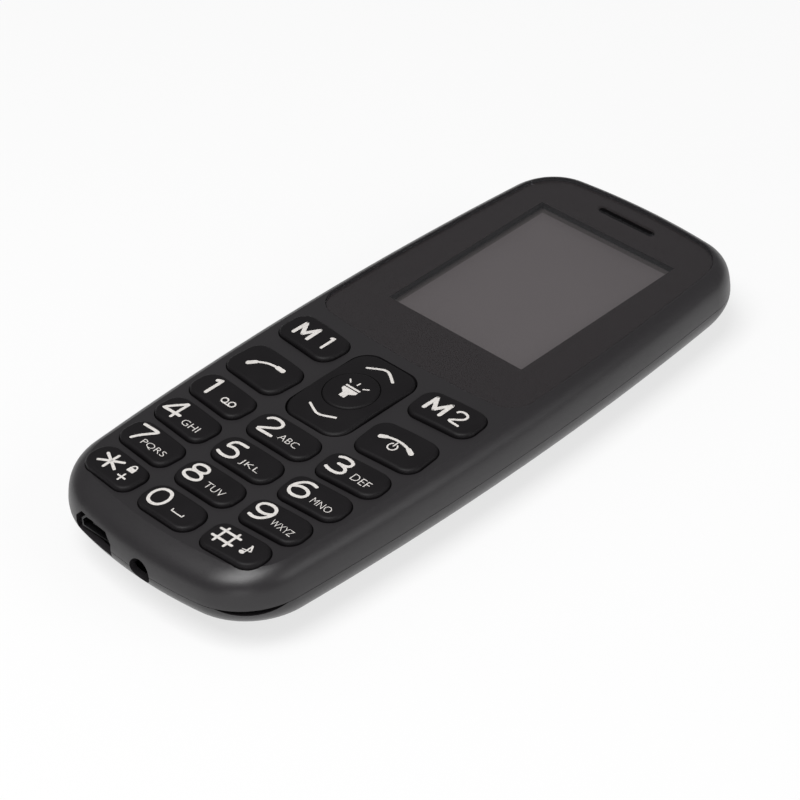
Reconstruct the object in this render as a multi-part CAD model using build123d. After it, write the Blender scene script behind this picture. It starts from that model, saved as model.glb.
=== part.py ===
from build123d import *
from math import asin, atan2, cos, degrees, hypot, pi, radians, sin, sqrt
import os

os.makedirs("parts", exist_ok=True)

# Feature phone, lying on its back. Millimetres. +Z comes out of the screen, +Y runs towards the
# earpiece and +X towards the right-hand keys. The origin is the middle of the flat back.

# Driving dimensions of the body
body_length = 115.0
body_width = 50.0
body_thickness = 13.6
parting_depth = 5.4
side_bow_radius = 540.0
top_bow_radius = 120.0
bottom_bow_radius = 78.0
top_corner_radius = 10.0
bottom_corner_radius = 12.0

# Shoulder between the flat deck and the parting line: how far the deck's edge is drawn in, and its
# profile as shares of that width and of its height
shoulder_side_inset = 2.65
shoulder_top_inset = 2.4
shoulder_bottom_inset = 4.4
shoulder_shares = (
    (0.0, 0.0), (0.025, 0.24), (0.095, 0.48), (0.22, 0.66),
    (0.415, 0.80), (0.68, 0.915), (1.0, 1.0),
)

# Hull of the rear cover, from the parting line down to the flat back
hull_side_inset = 13.0
hull_top_inset = 18.0
hull_bottom_inset = 18.0
hull_corner_radius = 7.5
hull_levels = 7

# Walls and clearances
housing_wall = 2.4
deck_wall = 1.2
cover_wall = 1.1
cover_floor = 1.2
battery_rail_width = 1.2
battery_rail_margin = 5.0
battery_rail_x = 8.0
chassis_gap = 0.35
seam_gap = 0.08
overrun = 1.0
seat_gap = 0.05
sheet_gap = 0.1

# Display window, lens and panel
window_side_margin = 10.45
window_top_margin = 11.3
window_bottom_margin = 10.375
lens_thickness = 0.5
lens_edge_margin = 0.4
lens_edge_gap = 0.1
lens_nav_gap = 2.55
lens_bottom_bow_radius = 200.0
lens_bottom_corner = 4.6
adhesive_thickness = 0.15
shelf_thickness = 1.05
shelf_window_margin = 0.5
shelf_lap = 0.4
lcd_side_margin = 2.65
lcd_top_margin = 2.2
lcd_bottom_margin = 5.0
lcd_recess = 1.5
lcd_glass_thickness = 0.9
lcd_backlight_thickness = 1.8
lcd_frame_rim = 0.5
lcd_gasket_rim = 1.6
flex_width = 14.0
flex_thickness = 0.2
flex_reach = 1.4

# Earpiece
earpiece_end_margin = 6.5
earpiece_slot_width = 12.0
earpiece_slot_height = 1.3
earpiece_width = 10.0
earpiece_length = 4.0
earpiece_height = 1.9
earpiece_corner = 1.6
earpiece_shift = 0.35
earpiece_gasket_height = 0.3
earpiece_gasket_rim = 0.7
mesh_thickness = 0.2
mesh_depth = 0.55

# Keys
key_rise = 0.9
key_crown_radius = 70.0
key_edge_round = 0.6
key_travel = 0.4
key_clearance = 0.15
key_flange_reach = 0.5
key_flange_thickness = 0.55
key_flange_gap = 0.1
key_plunger_radius = 1.1
row_arc_radius = 185.0
column_gap = 2.0
number_rows = 4
number_row_pitch = 7.45
last_row_end_margin = 8.7
number_key_height = 6.05
centre_key_half_width = 6.5
centre_key_row_taper = 0.24
key_side_margin = 3.85
key_outer_corner = 2.5
key_inner_corner = 2.1
last_row_corner = 2.95
soft_key_side_margin = 4.05
soft_key_corner = 2.5
memory_row_rise = 5.47
memory_key_height = 6.8
call_row_drop = 5.25
call_key_height = 8.1
nav_row_rise = 14.2
nav_half_width = 6.4
nav_height = 19.05
nav_corner = 3.3
nav_clearance = 0.25
nav_tilt = 2.0
nav_flange_room = 0.15
nav_plunger_offset = 6.4
nav_foot_start = 4.8
nav_foot_length = 1.4
nav_foot_radius = 0.6
torch_key_radius = 4.5
torch_key_clearance = 0.1
torch_key_rise = 0.2
torch_key_round = 0.4

# Keypad mat, domes and key lights
dome_radius = 2.0
dome_height = 0.35
dome_thickness = 0.1
dome_sheet_thickness = 0.1
dome_sheet_margin = 0.2
mat_thickness = 0.5
mat_top_gap = 0.15
mat_margin = 0.9
mat_skirt = 0.7
mat_hole_gap = 0.45
keypad_top_margin = 0.5
keypad_end_margin = 5.5
led_length = 1.6
led_width = 0.8
led_height = 0.5
led_gap = 0.2

# Main board and what it carries
board_thickness = 1.0
board_side_inset = 3.7
post_radius = 1.6
column_radius = 2.1
screw_radius = 0.7
screw_head_radius = 1.4
screw_head_height = 0.8
screw_bite = 2.2
screw_hole_gap = 0.03
screw_head_gap = 0.2
screw_seat_rise = 2.8
top_screw_side_margin = 11.8
top_screw_end_margin = 6.9
middle_screw_side_margin = 6.05
lower_screw_side_margin = 5.5
lower_screw_lens_rise = 0.8
can_height = 1.15
can_wall = 0.15
rf_can_x = -9.5
rf_can_rise = 1.8
rf_can_width = 14.0
rf_can_length = 16.0
base_can_x = 8.0
base_can_rise = 2.8
base_can_width = 15.0
base_can_length = 18.0
chip_height = 0.9
chip_size = 3.2
chip_pitch = 4.6
chip_count = 4
chip_end_margin = 11.5

# Card holders
card_holder_height = 1.2
card_holder_wall = 0.2
sim_width = 15.6
sim_length = 17.0
sim_x = 8.6
sim_bay_margin = 11.0
memory_width = 13.0
memory_length = 14.0
memory_x = -8.6
memory_bay_margin = 3.0
card_mouth_height = 0.8
card_window_gap = 0.4

# Micro-USB socket and its opening
usb_x = -9.4
usb_z_above_parting = 0.7
usb_width = 7.5
usb_height = 2.6
usb_length = 5.0
usb_wall = 0.3
usb_chamfer = 1.1
usb_tongue_width = 3.7
usb_tongue_height = 0.6
usb_recess = 1.1
usb_opening_width = 9.2
usb_opening_height = 3.8
usb_opening_chamfer = 1.4
board_notch_gap = 0.2

# Headphone jack and its opening
jack_x = 1.7
jack_bore_radius = 1.8
jack_width = 6.0
jack_height = 5.0
jack_length = 11.0
jack_recess = 0.5
jack_collar_radius = 2.45
jack_collar_length = 6.0
jack_collar_gap = 0.15
jack_opening_radius = 2.1

# The plunger of the zero key stands beside the jack
zero_key_plunger_shift = -4.0

# Microphone
microphone_x = 9.4
microphone_end_margin = 6.3
microphone_radius = 1.5
microphone_height = 1.1

# Battery and its connector
battery_side_margin = 8.0
battery_top_margin = 42.0
battery_bottom_margin = 23.0
battery_thickness = 4.25
battery_round = 1.6
battery_gap = 0.3
battery_seat = 0.1
battery_rise = 0.7
connector_width = 9.0
connector_depth = 2.6
blade_width = 1.2
blade_pitch = 2.6
blade_thickness = 0.25
blade_count = 3
contact_gap = 0.1

# Rear chassis
chassis_floor_gap = 0.4
chassis_floor_thickness = 0.75
chassis_pit_floor = 1.5
chassis_side_wall = 1.4
board_gap = 0.2
pocket_gap = 0.15
chassis_bridge = 1.3
lip_height = 0.8
lip_thickness = 0.8
lip_gap = 0.08

# Loudspeaker, vibration motor and antenna
speaker_x = 6.5
speaker_end_margin = 20.5
speaker_width = 15.0
speaker_length = 11.0
speaker_height = 2.6
speaker_corner = 3.0
speaker_gasket_height = 0.3
speaker_gasket_rim = 0.8
grille_slots = 5
grille_pitch = 1.8
grille_width = 0.8
grille_length = 9.0
motor_x = -11.0
motor_end_margin = 17.1
motor_radius = 1.9
motor_length = 8.0
motor_shaft_radius = 0.4
motor_shaft_length = 4.2
motor_cradle = 0.5
weight_radius = 1.7
weight_length = 3.2
weight_gap = 0.5
weight_bore_gap = 0.05
antenna_width = 23.0
antenna_length = 7.0
antenna_thickness = 0.2
antenna_end_margin = 16.9
antenna_slot_width = 1.0
antenna_slot_count = 5
antenna_leg_x = 11.0
antenna_leg = 0.9

# Torch in the top end
torch_x = 0.0
torch_z_above_parting = 1.4
torch_lens_radius = 1.1
torch_lens_flange = 0.35
torch_flange_thickness = 0.6
torch_lens_tail = 1.15
torch_led_width = 2.6
torch_led_depth = 0.9
torch_led_height = 2.0

# Fingernail slot at the lower right corner of the rear cover
nail_angle = -40.0
nail_chord = 11.0
nail_height = 1.0
nail_depth = 1.9

# Levels worked out from the sizes above
half_length = body_length / 2
half_width = body_width / 2
last_row_y = last_row_end_margin - half_length
number_row_y = last_row_y + number_row_pitch * (number_rows - 1)
nav_y = number_row_y + nav_row_rise
memory_row_y = nav_y + memory_row_rise
call_row_y = nav_y - call_row_drop
keypad_top_y = nav_y + nav_height / 2 + keypad_top_margin
keypad_bottom_y = keypad_end_margin - half_length
lens_bottom_y = nav_y + nav_height / 2 + lens_nav_gap
window_width = body_width - 2 * window_side_margin
window_top_y = half_length - window_top_margin
window_bottom_y = lens_bottom_y + window_bottom_margin
window_length = window_top_y - window_bottom_y
window_y = (window_top_y + window_bottom_y) / 2
lcd_width = window_width + 2 * lcd_side_margin
lcd_top_y = window_top_y + lcd_top_margin
lcd_bottom_y = window_bottom_y - lcd_bottom_margin
earpiece_y = half_length - earpiece_end_margin
top_screw_x = half_width - top_screw_side_margin
top_screw_y = half_length - top_screw_end_margin
middle_screw_x = half_width - middle_screw_side_margin
lower_screw_x = half_width - lower_screw_side_margin
lower_screw_y = lens_bottom_y + lower_screw_lens_rise
rf_can_y = window_y + rf_can_rise
base_can_y = window_y + base_can_rise
chip_y = half_length - chip_end_margin
microphone_y = microphone_end_margin - half_length
battery_width = body_width - 2 * battery_side_margin
battery_top_y = half_length - battery_top_margin
battery_bottom_y = battery_bottom_margin - half_length
battery_length = battery_top_y - battery_bottom_y
battery_y = (battery_top_y + battery_bottom_y) / 2
sim_y = battery_top_y - sim_bay_margin - sim_length / 2
memory_y = battery_bottom_y + memory_bay_margin + memory_length / 2
speaker_y = half_length - speaker_end_margin
motor_y = half_length - motor_end_margin
antenna_y = antenna_end_margin - half_length
deck_z = body_thickness
parting_z = body_thickness - parting_depth
deck_under_z = deck_z - deck_wall
lens_bottom_z = deck_z - lens_thickness
adhesive_bottom_z = lens_bottom_z - adhesive_thickness
shelf_bottom_z = adhesive_bottom_z - shelf_thickness
lcd_top_z = adhesive_bottom_z - lcd_recess
lcd_glass_bottom_z = lcd_top_z - lcd_glass_thickness
board_top_z = lcd_glass_bottom_z - lcd_backlight_thickness
board_bottom_z = board_top_z - board_thickness
dome_top_z = board_top_z + dome_height
plunger_bottom_z = dome_top_z + key_travel + seat_gap
flange_top_z = deck_under_z - key_flange_gap
flange_bottom_z = flange_top_z - key_flange_thickness
nav_dip = (nav_height / 2 + key_flange_reach) * sin(radians(nav_tilt))
nav_flange_top_z = deck_under_z - nav_dip - nav_flange_room
nav_flange_bottom_z = nav_flange_top_z - key_flange_thickness
mat_top_z = nav_flange_bottom_z - nav_dip - mat_top_gap
nav_pivot_z = mat_top_z + seat_gap + nav_foot_radius
torch_key_bottom_z = nav_flange_bottom_z + key_travel
key_top_z = deck_z + key_rise
battery_bottom_z = cover_floor + battery_rise + battery_seat
battery_top_z = battery_bottom_z + battery_thickness
bay_roof_z = battery_top_z + battery_seat
chassis_floor_z = bay_roof_z + chassis_floor_thickness
chassis_bottom_z = cover_floor + chassis_floor_gap
pit_floor_z = chassis_bottom_z + chassis_pit_floor
bay_top_y = battery_top_y + battery_gap
bay_bottom_y = battery_bottom_y - battery_gap
usb_z = parting_z + usb_z_above_parting
jack_z = parting_z
torch_z = parting_z + torch_z_above_parting


def save(shape, name):
    export_step(shape, f"parts/{name}.step")


def place(x, y, z, shape):
    return Pos(x, y, z) * shape


# A box given by its middle in plan, its sizes and its lower and upper levels
def block(x, y, width, length, low, high):
    return place(x, y, (low + high) / 2, Box(width, length, high - low))


# An upright cylinder between two levels
def post(x, y, radius, low, high):
    return place(x, y, (low + high) / 2, Cylinder(radius, high - low))


# An upright block with rounded vertical edges
def pad(x, y, width, length, corner, low, high):
    return place(x, y, low, extrude(RectangleRounded(width, length, corner), high - low))


# Half width of the body at a place along its length
def side_at(y):
    return half_width - side_bow_radius + sqrt(side_bow_radius ** 2 - y ** 2)


# Distance from the middle to the bottom end at a place across the width
def bottom_at(x):
    return half_length - bottom_bow_radius + sqrt(bottom_bow_radius ** 2 - x ** 2)


# Centre of a corner arc that touches a bowed side and a bowed end from inside
def corner_centre(side_radius, end_radius, end_bow, corner):
    side_x = half_width - side_bow_radius
    end_y = half_length - end_bow
    from_side = side_radius - corner
    from_end = end_radius - corner
    span = hypot(side_x, end_y)
    along = (from_side ** 2 - from_end ** 2 + span ** 2) / (2 * span)
    across = sqrt(from_side ** 2 - along ** 2)
    ux = -side_x / span
    uy = end_y / span
    return side_x + along * ux - across * uy, along * uy + across * ux


def on_circle(centre, radius, angle):
    return centre[0] + radius * cos(angle), centre[1] + radius * sin(angle)


# Corner arc of one quarter of the plan: its two ends, its middle, its centre and its angles
def corner_arc(side_inset, end_inset, end_bow, corner):
    side_radius = side_bow_radius - side_inset
    end_radius = end_bow - end_inset
    centre = corner_centre(side_radius, end_radius, end_bow, corner)
    side_angle = atan2(centre[1], centre[0] - (half_width - side_bow_radius))
    end_angle = atan2(centre[1] - (half_length - end_bow), centre[0])
    ends = [on_circle(centre, corner, angle) for angle in (side_angle, end_angle)]
    middle = on_circle(centre, corner, (side_angle + end_angle) / 2)
    return ends[0], middle, ends[1]


# Closed plan outline: two bowed sides, two bowed ends and four corner arcs
def plan_wire(level, side_inset, top_inset, bottom_inset, top_corner, bottom_corner):
    top_side, top_middle, top_end = corner_arc(side_inset, top_inset, top_bow_radius, top_corner)
    low_side, low_middle, low_end = corner_arc(side_inset, bottom_inset, bottom_bow_radius, bottom_corner)
    side_x = half_width - side_inset
    loop = [
        ((-low_end[0], -low_end[1]), (0, bottom_inset - half_length), (low_end[0], -low_end[1])),
        ((low_end[0], -low_end[1]), (low_middle[0], -low_middle[1]), (low_side[0], -low_side[1])),
        ((low_side[0], -low_side[1]), (side_x, 0), (top_side[0], top_side[1])),
        ((top_side[0], top_side[1]), (top_middle[0], top_middle[1]), (top_end[0], top_end[1])),
        ((top_end[0], top_end[1]), (0, half_length - top_inset), (-top_end[0], top_end[1])),
        ((-top_end[0], top_end[1]), (-top_middle[0], top_middle[1]), (-top_side[0], top_side[1])),
        ((-top_side[0], top_side[1]), (-side_x, 0), (-low_side[0], -low_side[1])),
        ((-low_side[0], -low_side[1]), (-low_middle[0], -low_middle[1]), (-low_end[0], -low_end[1])),
    ]
    return Pos(0, 0, level) * Wire([ThreePointArc(*points) for points in loop])


# The body's outline drawn in evenly
def even_wire(level, inset):
    return plan_wire(level, inset, inset, inset, top_corner_radius - inset, bottom_corner_radius - inset)


# The deck's edge, or a share of the way to it from the parting line, drawn in by a margin
def deck_wire(level, share, margin):
    side = shoulder_side_inset * share + margin
    top = shoulder_top_inset * share + margin
    bottom = shoulder_bottom_inset * share + margin
    return plan_wire(level, side, top, bottom, top_corner_radius - top, bottom_corner_radius - bottom)


# A straight-sided solid on the body's outline drawn in evenly
def even_solid(inset, low, high):
    return extrude(Face(even_wire(low, inset)), high - low, dir=(0, 0, 1))


# The domed upper shell, solid
def shoulder_solid():
    height = deck_z - parting_z
    sections = []
    for inset_share, height_share in shoulder_shares:
        sections.append(deck_wire(parting_z + height * height_share, inset_share, 0))
    return Solid.make_loft(sections)


# The hull below the parting line, solid, drawn in by a wall and standing on a floor
def hull_solid(wall, floor, top):
    sections = []
    for step in range(hull_levels):
        angle = pi / 2 * step / (hull_levels - 1)
        share = 1 - cos(angle)
        level = top - (top - floor) * sin(angle)
        top_corner = top_corner_radius - wall + (hull_corner_radius - top_corner_radius) * share
        bottom_corner = bottom_corner_radius - wall + (hull_corner_radius - bottom_corner_radius) * share
        sections.append(plan_wire(level, wall + hull_side_inset * share, wall + hull_top_inset * share,
                                  wall + hull_bottom_inset * share, top_corner, bottom_corner))
    return Solid.make_loft(sections[::-1])


# The lens, or its recess: it follows the edge of the deck, and its foot is bowed
def lens_solid(inset, low, high):
    around = extrude(Face(deck_wire(low, 1, lens_edge_margin + inset)), high - low, dir=(0, 0, 1))
    bow = post(0, lens_bottom_y + inset + lens_bottom_bow_radius, lens_bottom_bow_radius, low, high)
    bowed = around & bow
    corners = bowed.edges().filter_by(Axis.Z).sort_by(Axis.Y)[:2]
    return fillet(corners, lens_bottom_corner - inset)


def window_block(margin, low, high):
    return block(0, window_y, window_width + 2 * margin, window_length + 2 * margin, low, high)


def slot_solid(grow, low, high):
    face = SlotOverall(earpiece_slot_width + 2 * grow, earpiece_slot_height + 2 * grow)
    return place(0, earpiece_y, low, extrude(face, high - low))


# One key cap: its name, its edges across the phone, the middle of its row, its height and its corners
def key_table():
    keys = []
    for side, name in ((-1, "key_memory_1"), (1, "key_memory_2")):
        keys.append(outer_key(name, side, nav_half_width, soft_key_side_margin, memory_row_y,
                              memory_key_height, soft_key_corner, soft_key_corner, soft_key_corner))
    for side, name in ((-1, "key_call"), (1, "key_end")):
        keys.append(outer_key(name, side, nav_half_width, soft_key_side_margin, call_row_y,
                              call_key_height, soft_key_corner, soft_key_corner, soft_key_corner))
    rows = (("key_1", "key_2", "key_3"), ("key_4", "key_5", "key_6"),
            ("key_7", "key_8", "key_9"), ("key_star", "key_0", "key_hash"))
    for row, names in enumerate(rows):
        y = number_row_y - number_row_pitch * row
        half = centre_key_half_width - centre_key_row_taper * row
        low_corner = last_row_corner if row == number_rows - 1 else key_outer_corner
        for side, name in zip((-1, 1), (names[0], names[2])):
            keys.append(outer_key(name, side, half, key_side_margin, y, number_key_height,
                                  key_outer_corner, low_corner, key_inner_corner))
        shift = zero_key_plunger_shift if names[1] == "key_0" else 0
        keys.append({"name": names[1], "x": 0, "y": y, "tilt": 0, "half": half, "shift": shift,
                     "height": number_key_height, "corners": [key_outer_corner] * 4})
    return keys


# A key of the left or right column: it follows the body's side and the smile of its row
def outer_key(name, side, centre_half, margin, row_y, height, upper, lower, inner):
    near = centre_half + column_gap
    far = side_at(row_y) - margin
    x = (near + far) / 2
    rise = row_arc_radius - sqrt(row_arc_radius ** 2 - x ** 2)
    corners = [inner, lower, upper, inner]
    if side < 0:
        corners = [lower, inner, inner, upper]
    tilt = side * degrees(asin(x / row_arc_radius))
    return {"name": name, "x": side * x, "y": row_y + rise, "tilt": tilt, "half": (far - near) / 2,
            "height": height, "corners": corners, "shift": 0}


# Rounded outline of a key, grown by a clearance, with corners from lower left anticlockwise
def key_face(key, grow):
    half = key["half"] + grow
    up = key["height"] / 2 + grow
    points = [(-half, -up), (half, -up), (half, up), (-half, up)]
    rim = FilletPolyline(*points, radius=[corner + grow for corner in key["corners"]], close=True)
    return Pos(key["x"], key["y"], 0) * (Rot(0, 0, key["tilt"]) * make_face(rim))


def key_column(key, grow, low, high):
    return Pos(0, 0, low) * extrude(key_face(key, grow), high - low)


# The crowned cap that stands in the opening of the deck
def crowned_cap(key, low, high, round_size):
    crown = place(key["x"], key["y"], high - key_crown_radius, Sphere(key_crown_radius))
    cap = key_column(key, 0, low, high) & crown
    rim = cap.faces().sort_by(Axis.Z)[-1].edges()
    return fillet(rim, round_size)


def key_solid(key):
    cap = crowned_cap(key, flange_bottom_z, key_top_z, key_edge_round)
    flange = key_column(key, key_flange_reach, flange_bottom_z, flange_top_z)
    plunger = post(key["x"] + key["shift"], key["y"], key_plunger_radius, plunger_bottom_z,
                   flange_bottom_z)
    return cap + flange + plunger


def nav_key_table():
    return {"name": "key_nav", "x": 0, "y": nav_y, "tilt": 0, "half": nav_half_width,
            "height": nav_height, "corners": [nav_corner] * 4}


# The rocker: two plungers for up and down, two round feet that it rocks on, a well for the torch key
def nav_solid():
    nav = nav_key_table()
    rocker = crowned_cap(nav, nav_flange_bottom_z, key_top_z, key_edge_round)
    rocker += key_column(nav, key_flange_reach, nav_flange_bottom_z, nav_flange_top_z)
    well = torch_key_radius + torch_key_clearance
    rocker -= post(0, nav_y, well, nav_flange_bottom_z - overrun, key_top_z + overrun)
    for side in (-1, 1):
        rocker += post(0, nav_y + side * nav_plunger_offset, key_plunger_radius, plunger_bottom_z,
                       nav_flange_bottom_z)
        foot_x = side * (nav_foot_start + nav_foot_length / 2) - nav_foot_length / 2
        rocker += cross_cylinder(foot_x, nav_y, nav_pivot_z, nav_foot_radius, nav_foot_length)
    return rocker


def torch_key_solid():
    high = key_top_z + torch_key_rise
    cap = post(0, nav_y, torch_key_radius, torch_key_bottom_z, high)
    crown = place(0, nav_y, high - key_crown_radius, Sphere(key_crown_radius))
    cap = cap & crown
    cap = fillet(cap.faces().sort_by(Axis.Z)[-1].edges(), torch_key_round)
    return cap + post(0, nav_y, key_plunger_radius, plunger_bottom_z, torch_key_bottom_z)


# Middles of all dome switches
def dome_places(keys):
    places = [(key["x"] + key["shift"], key["y"]) for key in keys]
    places.append((0, nav_y))
    places.extend((0, nav_y + side * nav_plunger_offset) for side in (-1, 1))
    return places


# Key lights stand in the gaps between the columns, one on each side of every other row
def led_places():
    x = centre_key_half_width + column_gap / 2
    rows = (memory_row_y + call_row_y) / 2, number_row_y, number_row_y - 2 * number_row_pitch
    return [(side * x, y) for side in (-1, 1) for y in rows]


def screw_places():
    spots = ((top_screw_x, top_screw_y), (middle_screw_x, window_y), (lower_screw_x, lower_screw_y))
    return [(side * x, y) for x, y in spots for side in (-1, 1)]


# The socket's opening: a wide slot with its two upper corners cut off, along Y
def usb_face(width, height, chamfer, y, middle_z):
    half = width / 2
    low = middle_z - height / 2
    high = middle_z + height / 2
    points = [(usb_x - half, low), (usb_x + half, low), (usb_x + half, high - chamfer),
              (usb_x + half - chamfer, high), (usb_x - half + chamfer, high),
              (usb_x - half, high - chamfer)]
    return Face(Wire.make_polygon([(x, y, z) for x, z in points], close=True))


def usb_block(width, height, chamfer, start_y, length, middle_z):
    return extrude(usb_face(width, height, chamfer, start_y, middle_z), length, dir=(0, 1, 0))


def usb_opening():
    reach = 2 * (housing_wall + overrun)
    return usb_block(usb_opening_width, usb_opening_height, usb_opening_chamfer, -half_length - overrun,
                     reach, usb_z)


# A cylinder along the phone's length
def long_cylinder(x, z, radius, start_y, length):
    return Pos(x, start_y + length / 2, z) * (Rot(90, 0, 0) * Cylinder(radius, length))


def jack_opening():
    return long_cylinder(jack_x, jack_z, jack_opening_radius, -half_length - overrun,
                         housing_wall + 2 * overrun)


# Front housing: the shoulder shell with its lens recess, key openings, ports and screw posts
def front_housing(keys):
    shell = shoulder_solid()
    cavity = even_solid(housing_wall, parting_z - overrun, deck_under_z)
    shell -= cavity
    shelf = lens_solid(-lens_edge_gap - shelf_lap, shelf_bottom_z, deck_under_z + seat_gap)
    shell += shelf & even_solid(housing_wall - seat_gap, shelf_bottom_z, deck_z)
    shell -= lens_solid(-lens_edge_gap, adhesive_bottom_z, deck_z + overrun)
    shell -= window_block(shelf_window_margin, shelf_bottom_z - overrun, deck_z)
    shell -= slot_solid(0, shelf_bottom_z - overrun, deck_z)
    for key in keys:
        shell -= key_column(key, key_clearance, deck_under_z - overrun, deck_z + overrun)
    shell -= key_column(nav_key_table(), nav_clearance, deck_under_z - overrun, deck_z + overrun)
    for x, y in screw_places():
        roof = shelf_bottom_z if y > lens_bottom_y + post_radius else deck_under_z
        sleeve = post(x, y, post_radius, board_top_z, roof + seat_gap)
        shell += sleeve
        shell -= post(x, y, screw_radius + screw_hole_gap, board_top_z - overrun,
                      board_top_z + screw_bite + screw_head_gap)
    shell -= usb_opening()
    shell -= jack_opening()
    torch_hole = long_cylinder(torch_x, torch_z, torch_lens_radius + sheet_gap,
                               half_length - housing_wall - overrun, housing_wall + 2 * overrun)
    return shell - torch_hole


# Lens parts
def display_lens():
    lens = lens_solid(0, lens_bottom_z, deck_z - seat_gap)
    return lens - slot_solid(0, lens_bottom_z - overrun, deck_z + overrun)


def lens_adhesive():
    ring = lens_solid(0, adhesive_bottom_z, lens_bottom_z)
    ring -= window_block(0, adhesive_bottom_z - overrun, lens_bottom_z + overrun)
    return ring - slot_solid(0, adhesive_bottom_z - overrun, lens_bottom_z + overrun)


def lcd_middle_y():
    return (lcd_top_y + lcd_bottom_y) / 2


def lcd_length():
    return lcd_top_y - lcd_bottom_y


def lcd_glass():
    return block(0, lcd_middle_y(), lcd_width - 2 * lcd_frame_rim, lcd_length() - 2 * lcd_frame_rim,
                 lcd_glass_bottom_z, lcd_top_z)


# The light box with the raised rim that holds the glass
def lcd_backlight():
    frame = block(0, lcd_middle_y(), lcd_width, lcd_length(), board_top_z, lcd_top_z)
    return frame - block(0, lcd_middle_y(), lcd_width - 2 * lcd_frame_rim, lcd_length() - 2 * lcd_frame_rim,
                         lcd_glass_bottom_z, lcd_top_z + overrun)


def lcd_gasket():
    ring = window_block(shelf_window_margin + lcd_gasket_rim, lcd_top_z, shelf_bottom_z)
    return ring - window_block(shelf_window_margin, lcd_top_z - overrun, shelf_bottom_z + overrun)


# The ribbon that leaves the foot of the glass and turns down to the board
def lcd_flex():
    foot = lcd_bottom_y + 2 * lcd_frame_rim
    drop_y = foot - flex_reach
    crest = lcd_top_z + flex_thickness
    top = block(0, foot - flex_reach / 2, flex_width, flex_reach, lcd_top_z, crest)
    drop = block(0, drop_y - flex_thickness / 2, flex_width, flex_thickness, board_top_z, crest)
    foot_top = board_top_z + flex_thickness
    tail = block(0, drop_y - flex_reach / 2, flex_width, flex_reach, board_top_z, foot_top)
    return top + drop + tail


# Earpiece parts
def earpiece_mesh():
    return slot_solid(-sheet_gap / 2, deck_z - mesh_depth - mesh_thickness, deck_z - mesh_depth)


def earpiece_gasket():
    low = shelf_bottom_z - earpiece_gasket_height
    y = earpiece_y - earpiece_shift
    ring = pad(0, y, earpiece_width, earpiece_length, earpiece_corner, low, shelf_bottom_z)
    inner = pad(0, y, earpiece_width - 2 * earpiece_gasket_rim,
                earpiece_length - 2 * earpiece_gasket_rim, earpiece_corner - earpiece_gasket_rim,
                low - overrun, shelf_bottom_z + overrun)
    return ring - inner


def earpiece():
    high = shelf_bottom_z - earpiece_gasket_height
    return pad(0, earpiece_y - earpiece_shift, earpiece_width, earpiece_length, earpiece_corner,
               high - earpiece_height, high)


# Keypad sheets
def keypad_plan(low, high, inset):
    length = keypad_top_y - keypad_bottom_y - 2 * inset
    middle = (keypad_top_y + keypad_bottom_y) / 2
    window = block(0, middle, body_width, length, low, high)
    return even_solid(board_side_inset + inset, low, high) & window


def keypad_mat(keys):
    low = board_top_z + dome_sheet_thickness
    mat = keypad_plan(low, mat_top_z, mat_margin)
    mat -= keypad_plan(low - overrun, mat_top_z - mat_thickness, mat_margin + mat_skirt)
    for x, y in dome_places(keys):
        mat -= post(x, y, key_plunger_radius + mat_hole_gap, low, mat_top_z + overrun)
    return mat - keypad_notches(low - overrun, mat_top_z + overrun)


# Room in the keypad sheets for the two sockets and the microphone
def keypad_notches(low, high):
    room = usb_room(low, high) + jack_room(low, high)
    return room + post(microphone_x, microphone_y, microphone_radius + board_notch_gap, low, high)


def usb_room(low, high):
    back = -bottom_at(usb_x) + usb_recess + usb_length + board_notch_gap
    return block(usb_x, back - usb_length, usb_width + 2 * board_notch_gap, 2 * usb_length, low, high)


def jack_room(low, high):
    back = jack_front() + jack_length + board_notch_gap
    return block(jack_x, back - jack_length, jack_width + 2 * board_notch_gap, 2 * jack_length, low, high)


def jack_front():
    return -bottom_at(jack_x) + housing_wall + jack_recess


def dome_sheet(keys):
    high = board_top_z + dome_sheet_thickness
    sheet = keypad_plan(board_top_z, high, mat_margin)
    for x, y in dome_places(keys):
        sheet -= post(x, y, dome_radius + dome_sheet_margin, board_top_z - overrun, high + overrun)
    for x, y in led_places():
        sheet -= block(x, y, led_width + 2 * led_gap, led_length + 2 * led_gap, board_top_z - overrun,
                       high + overrun)
    return sheet - keypad_notches(board_top_z - overrun, high + overrun)


# One snap dome: a shallow spherical cap with an even wall
def dome(x, y):
    ball = (dome_radius ** 2 + dome_height ** 2) / (2 * dome_height)
    middle = board_top_z + dome_height - ball
    inner = ball - dome_thickness
    cap = place(x, y, middle, Sphere(ball)) - place(x, y, middle, Sphere(inner))
    return cap & block(x, y, 2 * dome_radius, 2 * dome_radius, board_top_z, board_top_z + dome_height)


def key_domes(keys):
    return Compound(children=[dome(x, y) for x, y in dome_places(keys)])


def keypad_leds():
    lights = [block(x, y, led_width, led_length, board_top_z, board_top_z + led_height)
              for x, y in led_places()]
    return Compound(children=lights)


# Main board with notches for the two sockets and holes for the screws
def main_board():
    board = even_solid(board_side_inset, board_bottom_z, board_top_z)
    low = board_bottom_z - overrun
    high = board_top_z + overrun
    for x, y in screw_places():
        board -= post(x, y, screw_radius + screw_hole_gap, low, high)
    return board - usb_room(low, high) - jack_room(low, high)


def usb_socket():
    front = -bottom_at(usb_x) + usb_recess
    shell = usb_block(usb_width, usb_height, usb_chamfer, front, usb_length, usb_z)
    well = usb_block(usb_width - 2 * usb_wall, usb_height - 2 * usb_wall, usb_chamfer - usb_wall / 2,
                     front - overrun, usb_length - usb_wall + overrun, usb_z)
    tongue = block(usb_x, front + usb_length / 2, usb_tongue_width, usb_length - 2 * usb_wall,
                   usb_z - usb_tongue_height / 2, usb_z + usb_tongue_height / 2)
    tongue = Pos(0, usb_wall, 0) * tongue
    return shell - well + tongue


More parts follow.
